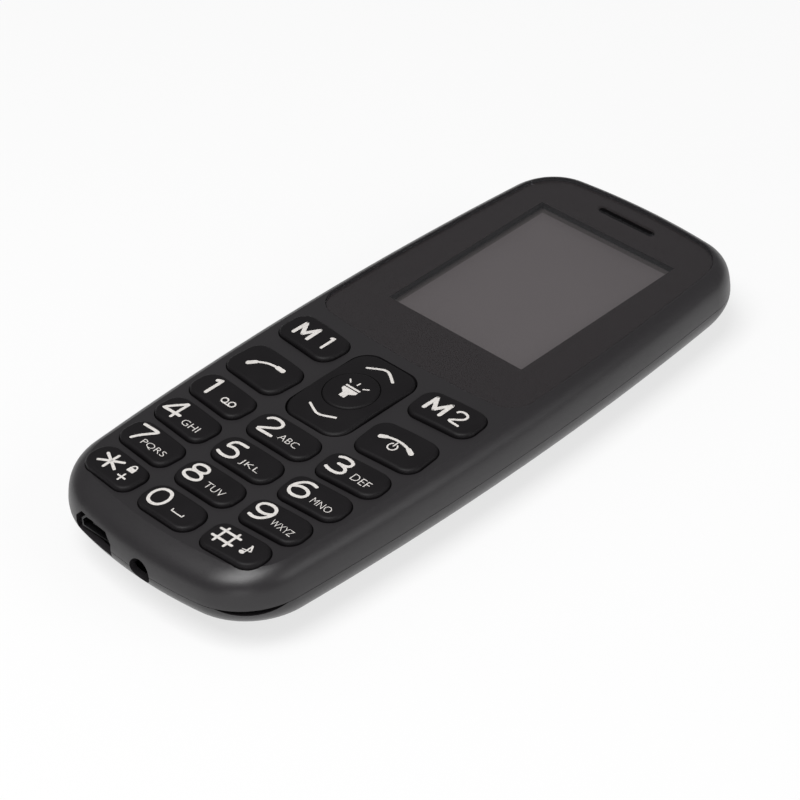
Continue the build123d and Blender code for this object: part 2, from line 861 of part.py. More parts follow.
def audio_jack():
    body = block(jack_x, jack_front() + jack_length / 2, jack_width, jack_length, jack_z - jack_height / 2,
                 jack_z + jack_height / 2)
    collar_front = -bottom_at(jack_x) + housing_wall + jack_collar_gap
    body += long_cylinder(jack_x, jack_z, jack_collar_radius, collar_front, jack_collar_length)
    return body - long_cylinder(jack_x, jack_z, jack_bore_radius, collar_front - overrun,
                                2 * jack_length)


def microphone():
    return post(microphone_x, microphone_y, microphone_radius, board_top_z, board_top_z + microphone_height)


# A stamped can on the underside of the board
def shield_can(x, y, width, length):
    low = board_bottom_z - can_height
    can = block(x, y, width, length, low, board_bottom_z)
    return can - block(x, y, width - 2 * can_wall, length - 2 * can_wall, low + can_wall,
                       board_bottom_z + overrun)


def board_components():
    chips = []
    start = -(chip_count - 1) * chip_pitch / 2
    for step in range(chip_count):
        chips.append(block(start + step * chip_pitch, chip_y, chip_size, chip_size,
                           board_bottom_z - chip_height, board_bottom_z))
    return Compound(children=chips)


# A card holder: a low cage open at its foot, under the board
def card_holder(x, y, width, length):
    low = board_bottom_z - card_holder_height
    cage = block(x, y, width, length, low, board_bottom_z)
    mouth_low = low + card_holder_wall
    return cage - block(x, y - card_holder_wall, width - 2 * card_holder_wall, length,
                        mouth_low, mouth_low + card_mouth_height)


def connector_y():
    return bay_top_y + connector_depth / 2


def connector_low():
    return battery_bottom_z + battery_thickness / 2


# Spring blades of the battery connector stand out of its block, towards the battery
def battery_connector():
    low = connector_low()
    body = block(0, connector_y(), connector_width, connector_depth, low, board_bottom_z)
    reach = battery_gap - contact_gap
    start = -(blade_count - 1) * blade_pitch / 2
    for step in range(blade_count):
        body += block(start + step * blade_pitch, bay_top_y - reach / 2, blade_width, reach + seat_gap,
                      low + blade_thickness, low + 2 * blade_width)
    return body


def battery():
    middle = (battery_bottom_z + battery_top_z) / 2
    cell = place(0, battery_y, middle, Box(battery_width, battery_length, battery_thickness))
    return fillet(cell.edges().filter_by(Axis.Y), battery_round)


def screw_column_bottom():
    return pit_floor_z + screw_seat_rise


# The tub that carries the board: battery bay below, deep pits at both ends and a shallow floor between
def rear_chassis():
    wall = cover_wall + chassis_gap
    rim = parting_z + overrun
    tub = hull_solid(wall, chassis_bottom_z, parting_z)
    tub -= even_solid(board_side_inset - board_gap, chassis_floor_z, rim)
    pit = hull_solid(wall + chassis_side_wall, chassis_bottom_z + chassis_side_wall, parting_z)
    pit &= block(0, 0, body_width, body_length, pit_floor_z, parting_z)
    top_low = bay_top_y + chassis_bridge
    low_high = bay_bottom_y - chassis_bridge
    tub -= pit & block(0, top_low + half_length, body_width, body_length, chassis_bottom_z, rim)
    tub -= pit & block(0, low_high - half_length, body_width, body_length, chassis_bottom_z, rim)
    tub -= block(0, battery_y, battery_width + 2 * battery_gap, battery_length + 2 * battery_gap,
                 chassis_bottom_z - overrun, bay_roof_z)
    for x, y, width, length in pockets():
        tub -= block(x, y, width + 2 * pocket_gap, length + 2 * pocket_gap, pit_floor_z, chassis_floor_z)
    tub += chassis_lip()
    solid_hull = hull_solid(wall, chassis_bottom_z, board_bottom_z)
    for x, y in screw_places():
        tub += post(x, y, column_radius, pit_floor_z, board_bottom_z) & solid_hull
        tub -= post(x, y, screw_radius + screw_hole_gap, chassis_bottom_z - overrun, rim)
        tub -= post(x, y, screw_head_radius + screw_head_gap, chassis_bottom_z - overrun,
                    screw_column_bottom())
    for x, y, width, length in card_windows():
        tub -= block(x, y, width + 2 * card_window_gap, length + 2 * card_window_gap,
                     bay_roof_z - overrun, rim)
    tub -= block(0, connector_y() - card_window_gap, connector_width + 2 * card_window_gap,
                 connector_depth + 2 * card_window_gap, connector_low() - card_window_gap, rim)
    tub -= usb_block(usb_width + 2 * board_notch_gap, usb_height + 2 * board_notch_gap, usb_chamfer,
                     -half_length - overrun, housing_wall + overrun + usb_recess + usb_length, usb_z)
    tub -= usb_opening()
    jack_back = jack_front() + jack_length + board_notch_gap
    tub -= block(jack_x, jack_back - half_length, jack_width + 2 * board_notch_gap, body_length,
                 jack_z - jack_height / 2 - board_notch_gap, rim)
    tub -= block(torch_x, half_length, torch_led_width + 2 * pocket_gap, 2 * board_side_inset,
                 torch_z - torch_lens_radius - torch_lens_flange - pocket_gap, rim)
    tub -= speaker_grille(chassis_bottom_z - overrun, pit_floor_z + overrun)
    return tub + motor_cradle_solid()


# Straight-sided pockets in the pits, for the pieces that lie on their floors
def pockets():
    motor_end = motor_x - motor_length / 2
    weight_end = motor_x + motor_length / 2 + motor_shaft_length
    return ((speaker_x, speaker_y, speaker_width, speaker_length),
            (0, antenna_y, antenna_width, antenna_length),
            ((motor_end + weight_end) / 2, motor_y, weight_end - motor_end, 2 * motor_radius))


# A thin lip that stands inside the housing's wall and locates the two
def chassis_lip():
    outer = housing_wall + lip_gap
    lip = even_solid(outer, parting_z - overrun, parting_z + lip_height)
    lip -= even_solid(outer + lip_thickness, parting_z - 2 * overrun, parting_z + 2 * overrun)
    keep = usb_block(usb_opening_width, usb_opening_height + 2 * overrun, usb_opening_chamfer,
                     -half_length, 2 * housing_wall + usb_recess, usb_z)
    return lip - keep - jack_opening()


def card_windows():
    return ((-sim_x, sim_y, sim_width, sim_length), (sim_x, sim_y, sim_width, sim_length),
            (memory_x, memory_y, memory_width, memory_length))


def speaker_grille(low, high):
    slots = []
    start = -(grille_slots - 1) * grille_pitch / 2
    for step in range(grille_slots):
        face = SlotOverall(grille_length, grille_width)
        slots.append(place(speaker_x, speaker_y + start + step * grille_pitch, low,
                           extrude(face, high - low)))
    return Part() + slots


def speaker_low():
    return pit_floor_z + speaker_gasket_height


def loudspeaker():
    return pad(speaker_x, speaker_y, speaker_width, speaker_length, speaker_corner, speaker_low(),
               speaker_low() + speaker_height)


def speaker_gasket():
    ring = pad(speaker_x, speaker_y, speaker_width, speaker_length, speaker_corner, pit_floor_z,
               speaker_low())
    return ring - pad(speaker_x, speaker_y, speaker_width - 2 * speaker_gasket_rim,
                      speaker_length - 2 * speaker_gasket_rim, speaker_corner - speaker_gasket_rim,
                      pit_floor_z - overrun, speaker_low() + overrun)


def motor_z():
    return pit_floor_z + motor_cradle + motor_radius


# A cylinder across the phone's width
def cross_cylinder(x, y, z, radius, length):
    return Pos(x + length / 2, y, z) * (Rot(0, 90, 0) * Cylinder(radius, length))


def vibration_motor():
    can = cross_cylinder(motor_x - motor_length / 2, motor_y, motor_z(), motor_radius, motor_length)
    return can + cross_cylinder(motor_x + motor_length / 2, motor_y, motor_z(), motor_shaft_radius,
                                motor_shaft_length)


# The off-centre weight: a half disc with a full hub round the shaft
def motor_weight():
    start = motor_x + motor_length / 2 + weight_gap
    disc = cross_cylinder(start, motor_y, motor_z(), weight_radius, weight_length)
    disc -= place(start + weight_length / 2, motor_y, motor_z() + weight_radius,
                  Box(2 * weight_length, 2 * weight_radius + overrun, 2 * weight_radius))
    disc += cross_cylinder(start, motor_y, motor_z(), 2 * motor_shaft_radius, weight_length)
    return disc - cross_cylinder(start - overrun, motor_y, motor_z(), motor_shaft_radius + weight_bore_gap,
                                 weight_length + 2 * overrun)


# A cradle with a round seat, standing on the floor of the upper pit
def motor_cradle_solid():
    cradle = block(motor_x, motor_y, motor_length / 2, 2 * motor_radius, pit_floor_z - seat_gap, motor_z())
    return cradle - cross_cylinder(motor_x - motor_length, motor_y, motor_z(), motor_radius + sheet_gap,
                                   2 * motor_length)


# The antenna: a slotted plate on the lower pit's floor and two spring legs up to the board
def antenna():
    low = pit_floor_z
    plate = block(0, antenna_y, antenna_width, antenna_length, low, low + antenna_thickness)
    pitch = antenna_width / (antenna_slot_count + 1)
    for step in range(antenna_slot_count):
        x = -antenna_width / 2 + pitch * (step + 1)
        shift = antenna_slot_width * (1 if step % 2 else -1)
        plate -= block(x, antenna_y + shift, antenna_slot_width, antenna_length - 2 * antenna_slot_width,
                       low - overrun, low + overrun)
    for side in (-1, 1):
        plate += block(side * antenna_leg_x, antenna_y + (antenna_length - antenna_leg) / 2, antenna_leg,
                       antenna_leg, low, board_bottom_z)
    return plate


# Torch
def torch_lens():
    inner = half_length - housing_wall
    stem = long_cylinder(torch_x, torch_z, torch_lens_radius, inner, housing_wall - seat_gap)
    brim = long_cylinder(torch_x, torch_z, torch_lens_radius + torch_lens_flange,
                         inner - torch_flange_thickness, torch_flange_thickness - seat_gap)
    tail = inner - torch_lens_tail
    return stem + brim + long_cylinder(torch_x, torch_z, torch_lens_radius, tail, 2 * torch_lens_tail)


def torch_led():
    back = half_length - housing_wall - torch_lens_tail - seat_gap
    return block(torch_x, back - torch_led_depth / 2, torch_led_width, torch_led_depth, board_top_z,
                 board_top_z + torch_led_height)


def screw(x, y):
    seat = screw_column_bottom()
    head = post(x, y, screw_head_radius, seat - screw_head_height, seat)
    shank = post(x, y, screw_radius, seat, board_top_z + screw_bite)
    recess = screw_radius / 2
    cross = place(x, y, seat - screw_head_height, Box(screw_head_radius, recess, recess)
                  + Box(recess, screw_head_radius, recess))
    return head + shank - cross


def chassis_screws():
    return Compound(children=[screw(x, y) for x, y in screw_places()])


# Rear cover: a hull-shaped tray with the lower halves of the ports, the nail slot and the grille
def rear_cover():
    rim = parting_z - seam_gap
    tray = hull_solid(0, 0, parting_z)
    tray -= block(0, 0, 2 * body_width, 2 * body_length, rim, parting_z + overrun)
    tray -= hull_solid(cover_wall, cover_floor, parting_z)
    tray -= usb_opening()
    tray -= jack_opening()
    tray -= speaker_grille(-overrun, cover_floor + overrun)
    for side in (-1, 1):
        tray += block(side * battery_rail_x, battery_y, battery_rail_width,
                      battery_length - 2 * battery_rail_margin,
                      cover_floor - seat_gap, battery_bottom_z - battery_seat)
    return tray - nail_slot()


# The crescent dip in the rim: a wide cylinder whose axis points out of the corner
def nail_slot():
    dip_radius = nail_chord ** 2 / (8 * nail_height) + nail_height / 2
    direction = radians(nail_angle)
    centre = corner_centre(side_bow_radius, bottom_bow_radius, bottom_bow_radius, bottom_corner_radius)
    reach = bottom_corner_radius - nail_depth
    length = nail_depth + overrun
    out = reach + length / 2
    x = centre[0] + out * cos(direction)
    y = -centre[1] + out * sin(direction)
    disc = Rot(0, 0, nail_angle) * (Rot(0, 90, 0) * Cylinder(dip_radius, length))
    return place(x, y, parting_z - nail_height + dip_radius, disc)


keypad = key_table()

save(front_housing(keypad), "front_housing")
save(display_lens(), "display_lens")
save(lens_adhesive(), "lens_adhesive")
save(lcd_glass(), "lcd_glass")
save(lcd_backlight(), "lcd_backlight")
save(lcd_gasket(), "lcd_gasket")
save(lcd_flex(), "lcd_flex")
save(earpiece_mesh(), "earpiece_mesh")
save(earpiece_gasket(), "earpiece_gasket")
save(earpiece(), "earpiece")
for key in keypad:
    save(key_solid(key), key["name"])
save(nav_solid(), "key_nav")
save(torch_key_solid(), "key_torch")
save(keypad_mat(keypad), "keypad_mat")
save(dome_sheet(keypad), "dome_sheet")
save(key_domes(keypad), "key_domes")
save(keypad_leds(), "keypad_leds")
save(main_board(), "main_board")
save(usb_socket(), "usb_socket")
save(audio_jack(), "audio_jack")
save(microphone(), "microphone")
save(shield_can(rf_can_x, rf_can_y, rf_can_width, rf_can_length), "rf_shield")
save(shield_can(base_can_x, base_can_y, base_can_width, base_can_length), "baseband_shield")
save(board_components(), "board_components")
save(card_holder(-sim_x, sim_y, sim_width, sim_length), "sim_holder_1")
save(card_holder(sim_x, sim_y, sim_width, sim_length), "sim_holder_2")
save(card_holder(memory_x, memory_y, memory_width, memory_length), "memory_card_holder")
save(battery_connector(), "battery_connector")
save(battery(), "battery")
save(rear_chassis(), "rear_chassis")
save(loudspeaker(), "loudspeaker")
save(speaker_gasket(), "speaker_gasket")
save(vibration_motor(), "vibration_motor")
save(motor_weight(), "motor_weight")
save(antenna(), "antenna")
save(torch_lens(), "torch_lens")
save(torch_led(), "torch_led")
save(chassis_screws(), "chassis_screws")
save(rear_cover(), "rear_cover")
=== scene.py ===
import math
import bmesh
import bpy
from mathutils import Matrix, Vector


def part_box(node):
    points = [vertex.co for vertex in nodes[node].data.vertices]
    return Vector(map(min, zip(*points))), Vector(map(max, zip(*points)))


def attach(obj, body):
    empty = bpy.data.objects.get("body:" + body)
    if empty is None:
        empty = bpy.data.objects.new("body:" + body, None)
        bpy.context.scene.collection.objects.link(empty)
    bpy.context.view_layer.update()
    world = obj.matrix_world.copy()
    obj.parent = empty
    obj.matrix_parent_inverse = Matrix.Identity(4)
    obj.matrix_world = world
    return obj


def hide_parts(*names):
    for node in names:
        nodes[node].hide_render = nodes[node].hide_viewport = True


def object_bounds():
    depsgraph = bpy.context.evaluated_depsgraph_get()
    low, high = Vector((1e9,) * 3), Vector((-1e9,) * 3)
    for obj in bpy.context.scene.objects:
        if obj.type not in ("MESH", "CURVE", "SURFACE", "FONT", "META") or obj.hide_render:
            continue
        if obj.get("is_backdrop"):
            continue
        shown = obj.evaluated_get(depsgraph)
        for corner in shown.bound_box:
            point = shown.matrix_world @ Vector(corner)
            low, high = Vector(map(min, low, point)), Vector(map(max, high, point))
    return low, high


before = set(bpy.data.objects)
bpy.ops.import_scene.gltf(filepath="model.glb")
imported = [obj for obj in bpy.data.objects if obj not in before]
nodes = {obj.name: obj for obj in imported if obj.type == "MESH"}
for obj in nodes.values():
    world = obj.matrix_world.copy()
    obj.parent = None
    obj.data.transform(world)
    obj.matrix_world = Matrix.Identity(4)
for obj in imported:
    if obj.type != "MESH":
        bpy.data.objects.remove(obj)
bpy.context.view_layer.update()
mm = 0.001
print("frame loaded:", len(nodes), "nodes")


# small helpers for node trees

class Signal:
    # wraps a node's output, so that masks, grains and heights are written as sums
    def __init__(self, wiring, socket):
        self.wiring = wiring
        self.socket = socket

    def math(self, operation, other=None, flip=False):
        pair = [self, other] if not flip else [other, self]
        return self.wiring.add("ShaderNodeMath", {"operation": operation},
                               {i: v for i, v in enumerate(pair) if v is not None})

    def out(self, name):
        # another output of the same node
        return Signal(self.wiring, self.socket.node.outputs[name])

    def __add__(self, other):
        return self.math("ADD", other)

    def __sub__(self, other):
        return self.math("SUBTRACT", other)

    def __rsub__(self, other):
        return self.math("SUBTRACT", other, flip=True)

    def __mul__(self, other):
        return self.math("MULTIPLY", other)

    def __pow__(self, other):
        return self.math("POWER", other)

    def __abs__(self):
        return self.math("ABSOLUTE")

    # a sum or a product is the same from either side
    __radd__ = __add__
    __rmul__ = __mul__

    def below(self, limit):
        return self.math("LESS_THAN", limit)

    def above(self, limit):
        return self.math("GREATER_THAN", limit)

    def repeated(self, pitchMm):
        # climbs from 0 to 1 again and again, once in each pitch
        return (self * (1 / (pitchMm * mm))).math("FRACT")


class Wiring:
    # a node tree of either kind, with one way to add a node to it
    def __init__(self, tree):
        self.tree = tree

    def add(self, kind, settings=None, values=None, output=0):
        made = self.tree.nodes.new(kind)
        for key, value in (settings or {}).items():
            setattr(made, key, value)
        for key, value in (values or {}).items():
            for item in value if isinstance(value, list) else [value]:
                if isinstance(item, Signal):
                    self.tree.links.new(item.socket, made.inputs[key])
                else:
                    made.inputs[key].default_value = item
        return Signal(self, made.outputs[output])


class Recipe(Wiring):
    # one material: a Principled shader with whatever is worked out in front of it
    def __init__(self, name, **settings):
        self.material = bpy.data.materials.new(name)
        self.material.use_nodes = True
        super().__init__(self.material.node_tree)
        self.tree.nodes.clear()
        self.out = self.tree.nodes.new("ShaderNodeOutputMaterial")
        self.shader = self.tree.nodes.new("ShaderNodeBsdfPrincipled")
        self.tree.links.new(self.shader.outputs[0], self.out.inputs["Surface"])
        for key, value in settings.items():
            self.feed(key.replace("_", " ").title().replace("Ior", "IOR"), value)

    def feed(self, name, value):
        socket = self.shader.inputs[name]
        if isinstance(value, Signal):
            self.tree.links.new(value.socket, socket)
        else:
            socket.default_value = value

    def place(self):
        return self.add("ShaderNodeTexCoord", output="Object")

    def axes(self):
        split = self.add("ShaderNodeSeparateXYZ", values={0: self.place()})
        return [split.out(i) for i in range(3)]

    def noise(self, grainMm, detail=2.0, rough=0.5):
        # grainMm is about the size of one grain
        return self.add("ShaderNodeTexNoise", {"noise_dimensions": "3D"},
                        {"Vector": self.place(), "Scale": 1 / (grainMm * mm),
                         "Detail": detail, "Roughness": rough})

    def blend(self, factor, first, second):
        mix = self.add("ShaderNodeMix", {"data_type": "RGBA", "clamp_factor": True},
                       {0: factor, 6: first, 7: second})
        return mix.out(2)

    def ramp(self, value, low, high):
        return self.add("ShaderNodeMapRange", {"clamp": True},
                        {"Value": value, "From Min": low[0], "From Max": high[0],
                         "To Min": low[1], "To Max": high[1]})

    def flatNormal(self):
        # the face's own direction, so that big flat faces read flat to their edges
        return self.add("ShaderNodeNewGeometry", output="True Normal")

    def bump(self, height, depthMm):
        values = {"Height": height, "Distance": depthMm * mm, "Strength": 1.0}
        self.feed("Normal", self.add("ShaderNodeBump", values=values))


def srgb(red, green, blue):
    # a colour as it reads on screen, 0 to 255, as the values that a shader takes
    def line(value):
        value = value / 255
        return value / 12.92 if value <= 0.04045 else ((value + 0.055) / 1.055) ** 2.4
    return (line(red), line(green), line(blue), 1.0)


def near(signal, middle, half):
    # 1 where the signal is closer to the middle than half, and 0 elsewhere
    return abs(signal - middle).below(half)


# finishes

shellLook = {"colour": (34, 32, 34), "pale": (39, 37, 39), "roughness": 0.37, "roughSpread": (-0.05, 0.07),
             "grainMm": 0.16, "grainDepthMm": 0.012, "cloudMm": 14.0}


def makeShellPlastic():
    recipe = Recipe("shellPlastic", specular_ior_level=0.5)
    grain = recipe.noise(shellLook["grainMm"], 3.0, 0.6)
    cloud = recipe.noise(shellLook["cloudMm"])
    tint = recipe.ramp(grain * 0.55 + cloud * 0.45, (0.35, 0.0), (0.65, 1.0))
    recipe.feed("Base Color", recipe.blend(tint, srgb(*shellLook["colour"]), srgb(*shellLook["pale"])))
    smooth, rough = (shellLook["roughness"] + step for step in shellLook["roughSpread"])
    recipe.feed("Roughness", recipe.ramp(grain, (0.3, smooth), (0.7, rough)))
    recipe.bump(grain, shellLook["grainDepthMm"])
    return recipe.material


keyLook = {"colour": (17, 15, 17), "pale": (21, 19, 21), "roughness": 0.5, "roughSpread": (-0.03, 0.05),
           "grainMm": 0.1, "grainDepthMm": 0.006, "cloudMm": 5.0}


def makeKeyPlastic():
    recipe = Recipe("keyPlastic", specular_ior_level=0.2)
    grain = recipe.noise(keyLook["grainMm"])
    cloud = recipe.noise(keyLook["cloudMm"])
    tint = recipe.ramp(grain * 0.5 + cloud * 0.5, (0.35, 0.0), (0.65, 1.0))
    recipe.feed("Base Color", recipe.blend(tint, srgb(*keyLook["colour"]), srgb(*keyLook["pale"])))
    smooth, rough = (keyLook["roughness"] + step for step in keyLook["roughSpread"])
    recipe.feed("Roughness", recipe.ramp(cloud, (0.3, smooth), (0.7, rough)))
    recipe.bump(grain, keyLook["grainDepthMm"])
    return recipe.material


legendLook = {"colour": (222, 218, 214), "worn": (196, 191, 187), "wearMm": 0.35}


def makeLegendInk():
    recipe = Recipe("legendInk", roughness=0.5)
    wear = recipe.noise(legendLook["wearMm"], 3.0, 0.6)
    recipe.feed("Base Color", recipe.blend(recipe.ramp(wear, (0.5, 0.0), (0.72, 1.0)),
                                           srgb(*legendLook["colour"]), srgb(*legendLook["worn"])))
    return recipe.material


lensLook = {"reflection": (235, 235, 240), "straightShare": 0.04, "glancingShare": 0.96, "glancingPower": 5,
            "roughness": (0.03, 0.09), "smearMm": 6.0}


def makeClearWindow():
    # see-through plate: a small share of the light is mirrored, more of it at a low angle, the rest passes
    recipe = Recipe("clearWindow", metallic=1.0, base_color=srgb(*lensLook["reflection"]))
    facing = recipe.add("ShaderNodeLayerWeight", values={"Blend": 0.5, "Normal": recipe.flatNormal()},
                        output="Facing")
    smear = recipe.noise(lensLook["smearMm"], 3.0, 0.6)
    mirrored = (facing ** lensLook["glancingPower"]) * lensLook["glancingShare"] + lensLook["straightShare"]
    recipe.feed("Alpha", mirrored)
    clean, smeared = lensLook["roughness"]
    recipe.feed("Roughness", recipe.ramp(smear, (0.4, clean), (0.8, smeared)))
    recipe.feed("Normal", recipe.flatNormal())
    recipe.material.surface_render_method = "BLENDED"
    return recipe.material


borderLook = {"colour": (30, 25, 26), "speck": (35, 29, 30), "speckMm": 0.25}


def makeBorderPrint():
    recipe = Recipe("borderPrint", roughness=0.5, specular_ior_level=0.2)
    recipe.feed("Normal", recipe.flatNormal())
    speck = recipe.noise(borderLook["speckMm"], 2.0, 0.6)
    recipe.feed("Base Color", recipe.blend(recipe.ramp(speck, (0.45, 0.0), (0.75, 1.0)),
                                           srgb(*borderLook["colour"]), srgb(*borderLook["speck"])))
    return recipe.material


panelLook = {"active": (89, 84, 85), "shade": (93, 88, 89), "edge": (66, 62, 62), "activeWidthMm": 28.03,
             "activeLengthMm": 35.04, "middleYMm": 28.2, "roughness": (0.38, 0.44), "pixelMm": 0.22,
             "cloudMm": 22.0}


def makeDisplayGlass():
    recipe = Recipe("displayGlass", specular_ior_level=0.25)
    recipe.feed("Normal", recipe.flatNormal())
    x, y, _ = recipe.axes()
    inside = (near(x, 0.0, panelLook["activeWidthMm"] * mm / 2)
              * near(y, panelLook["middleYMm"] * mm, panelLook["activeLengthMm"] * mm / 2))
    cloud = recipe.noise(panelLook["cloudMm"], 1.0, 0.4)
    lit = recipe.blend(recipe.ramp(cloud, (0.3, 0.0), (0.7, 1.0)),
                       srgb(*panelLook["active"]), srgb(*panelLook["shade"]))
    recipe.feed("Base Color", recipe.blend(inside, srgb(*panelLook["edge"]), lit))
    cells = recipe.add("ShaderNodeTexChecker", output="Fac",
                       values={"Vector": recipe.place(), "Scale": 1 / (panelLook["pixelMm"] * mm)})
    smooth, rough = panelLook["roughness"]
    recipe.feed("Roughness", recipe.ramp(cells, (0.0, smooth), (1.0, rough)))
    return recipe.material


def makePlain(name, colour, pale, roughness, grainMm=0.3, metallic=0.0, depthMm=0.01, roughSpread=0.06):
    recipe = Recipe(name, metallic=metallic)
    grain = recipe.noise(grainMm, 3.0, 0.6)
    tint = recipe.ramp(grain, (0.4, 0.0), (0.65, 1.0))
    recipe.feed("Base Color", recipe.blend(tint, srgb(*colour), srgb(*pale)))
    smooth, rough = roughness - roughSpread, roughness + roughSpread
    recipe.feed("Roughness", recipe.ramp(grain, (0.3, smooth), (0.7, rough)))
    recipe.bump(grain, depthMm)
    return recipe.material


boardLook = {"mask": (24, 66, 44), "track": (58, 112, 74), "pitchMm": 0.9, "slant": 0.35, "bendMm": 6.0,
             "wanderMm": 3.0, "patchMm": 3.0, "trackShare": 0.14, "depthMm": 0.02}


def makeBoardMask():
    # green solder mask with fine copper tracks under it
    recipe = Recipe("boardMask", roughness=0.35)
    x, y, _ = recipe.axes()
    wander = recipe.noise(boardLook["bendMm"], 1.0, 0.4)
    course = x + y * boardLook["slant"] + wander * (boardLook["wanderMm"] * mm)
    lines = course.repeated(boardLook["pitchMm"])
    patches = recipe.noise(boardLook["patchMm"], 1.0, 0.4).above(0.5)
    track = near(lines, 0.5, boardLook["trackShare"]) * patches
    recipe.feed("Base Color", recipe.blend(track, srgb(*boardLook["mask"]), srgb(*boardLook["track"])))
    recipe.bump(track, boardLook["depthMm"])
    return recipe.material


# the hole colour is painted shade, standing for the dark cavity seen through the openings of the mesh
meshLook = {"wire": (8, 7, 8), "shadedHole": (3, 3, 4), "pitchMm": 0.3, "holeShare": 0.28, "depthMm": 0.05}


def makeMesh():
    # woven blackened wire over the earpiece; the wire's near black is partly its own finish and partly
    # painted shade of the recessed slot, and the holes are painted shade of the dark cavity behind them
    recipe = Recipe("wireMesh", roughness=0.7, specular_ior_level=0.05)
    x, y, _ = recipe.axes()
    gaps = [near(axis.repeated(meshLook["pitchMm"]), 0.5, meshLook["holeShare"]) for axis in (x, y)]
    shadedHole = gaps[0] * gaps[1]
    recipe.feed("Base Color", recipe.blend(shadedHole, srgb(*meshLook["wire"]), srgb(*meshLook["shadedHole"])))
    recipe.bump(1 - shadedHole, meshLook["depthMm"])
    return recipe.material


looks = {
    "shell": makeShellPlastic(),
    "key": makeKeyPlastic(),
    "legend": makeLegendInk(),
    "window": makeClearWindow(),
    "border": makeBorderPrint(),
    "display": makeDisplayGlass(),
    "board": makeBoardMask(),
    "mesh": makeMesh(),
    "inner": makePlain("innerPlastic", (40, 40, 43), (52, 52, 56), roughness=0.5),
    "rubber": makePlain("softRubber", (30, 30, 31), (42, 42, 43), roughness=0.75, grainMm=0.2, depthMm=0.02),
    "film": makePlain("amberFilm", (150, 96, 38), (176, 122, 58), roughness=0.35),
    "steel": makePlain("stampedSteel", (176, 176, 174), (196, 196, 195), roughness=0.28, grainMm=0.5,
                       metallic=1.0, depthMm=0.006),
    # the usb socket's steel is painted near black: painted shade of the deep, dark opening that the socket
    # sits in
    "socketShadeSteel": makePlain("darkenedSteel", (26, 26, 28), (36, 36, 38), roughness=0.4, metallic=0.6,
                           depthMm=0.006),
    "brass": makePlain("brassSheet", (190, 158, 92), (206, 176, 112), roughness=0.3, grainMm=0.4,
                       metallic=1.0, depthMm=0.006),
    "chip": makePlain("chipResin", (26, 26, 27), (36, 36, 38), roughness=0.55, grainMm=0.15),
    "light": makePlain("clearResin", (238, 226, 176), (246, 238, 204), roughness=0.2),
    "wrap": makePlain("batteryWrap", (134, 138, 142), (150, 154, 158), roughness=0.4, grainMm=0.8),
}

finishes = {
    "front_housing": "shell", "rear_cover": "shell", "rear_chassis": "inner", "display_lens": "window",
    "lens_adhesive": "border", "lcd_glass": "display", "lcd_backlight": "inner", "lcd_gasket": "rubber",
    "lcd_flex": "film", "earpiece_mesh": "mesh", "earpiece_gasket": "rubber", "earpiece": "steel",
    "keypad_mat": "rubber", "dome_sheet": "film", "key_domes": "steel", "keypad_leds": "light",
    "main_board": "board", "usb_socket": "socketShadeSteel", "audio_jack": "inner", "microphone": "steel",
    "rf_shield": "steel", "baseband_shield": "steel", "board_components": "chip", "sim_holder_1": "steel",
    "sim_holder_2": "steel", "memory_card_holder": "steel", "battery_connector": "chip", "battery": "wrap",
    "loudspeaker": "steel", "speaker_gasket": "rubber", "vibration_motor": "steel", "motor_weight": "brass",
    "antenna": "brass", "torch_lens": "window", "torch_led": "light", "chassis_screws": "steel",
}


def dress(node, look):
    data = nodes[node].data
    data.materials.clear()
    data.materials.append(looks[look])


for node in nodes:
    dress(node, finishes.get(node, "key"))
print("finishes on", len(nodes), "nodes")


# the border print, a hair under the window plate so that the two faces never share one level

borderCut = {"sinkMm": 0.012, "topBandMm": 0.05}


def makeBorderPiece():
    mesh = nodes["lens_adhesive"].data.copy()
    mesh.name = "border_print"
    level = max(v.co.z for v in mesh.vertices) - borderCut["topBandMm"] * mm
    for vertex in mesh.vertices:
        if vertex.co.z > level:
            vertex.co.z -= borderCut["sinkMm"] * mm
    piece = bpy.data.objects.new("border_print", mesh)
    bpy.context.scene.collection.objects.link(piece)
    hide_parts("lens_adhesive")
    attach(piece, "phone")


makeBorderPiece()
print("border print lowered")


# legends: thin prints that follow the crown of each key

# the torch key is the highest piece, so its print lies a hair deeper than the others do
printLook = {"thicknessMm": 0.03, "sinkMm": 0.015, "torchSinkMm": 0.025, "crownRadiusMm": 70.0,
             "stepMm": 0.35, "arcStepDeg": 12, "letterThinning": 0.013}
# widths of the drawn strokes
strokeMm = {"digit": 0.55, "memory": 0.72, "star": 0.5, "hash": 0.45, "tapeRing": 0.24, "tapeLine": 0.22,
            "shackle": 0.26, "plus": 0.3, "space": 0.21, "stem": 0.22, "flag": (0.36, 0.14), "noteBar": 0.16,
            "handle": 0.45, "power": 0.24, "upChevron": 0.48, "downChevron": 0.38, "ray": 0.26}


